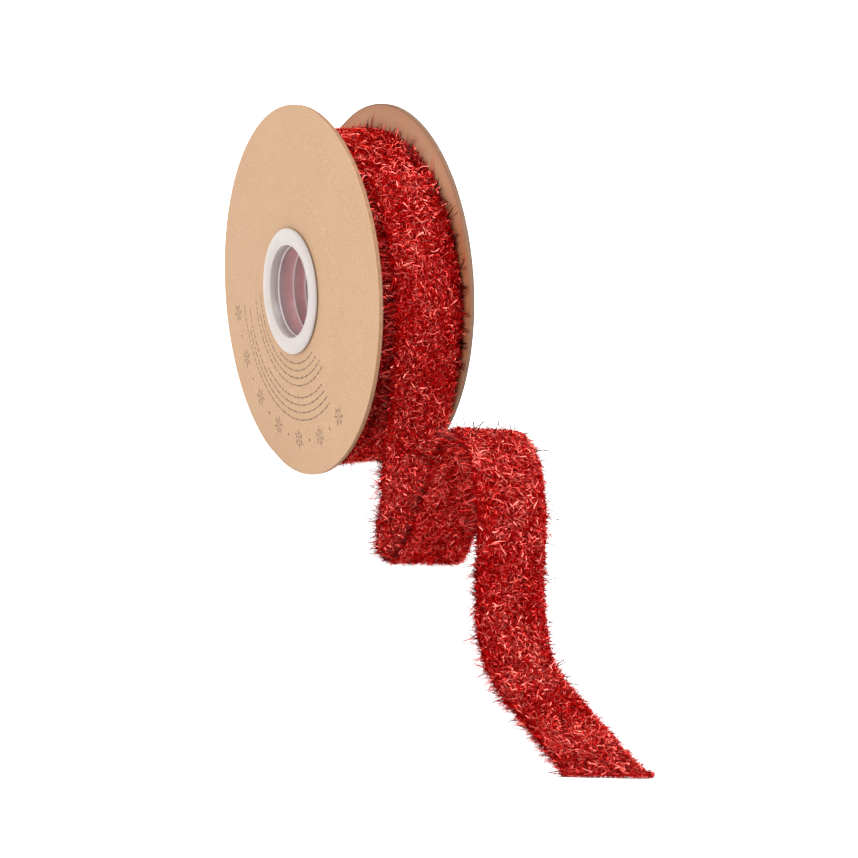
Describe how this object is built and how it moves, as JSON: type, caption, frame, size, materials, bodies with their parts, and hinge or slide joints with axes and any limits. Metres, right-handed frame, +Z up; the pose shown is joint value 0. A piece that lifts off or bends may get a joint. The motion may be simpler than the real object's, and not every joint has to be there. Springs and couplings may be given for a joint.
{
  "type": "roll of tinsel ribbon",
  "caption": "Roll of fluffy red tinsel ribbon on a spool of two round card discs with a plastic core, standing on edge, its loose end let out in front in one tall wave.",
  "frame": {"origin": "on the ground, at the middle of the footprint of spool and loose end together", "axes": "+Z up, X along the axle line of the spool, the loose end runs out towards -Y"},
  "size_m": [0.0408, 0.2726, 0.1267],
  "materials": {
    "card": "matt kraft card",
    "bush": "satin, slightly clear",
    "tinsel": "fine metallic red pile"
  },
  "bodies": {
    "root": {"flange_near": "card", "flange_far": "card", "hub_near": "bush", "hub_far": "bush", "ribbon_roll": "tinsel", "ribbon_tail": "tinsel"}
  },
  "joints": []
}
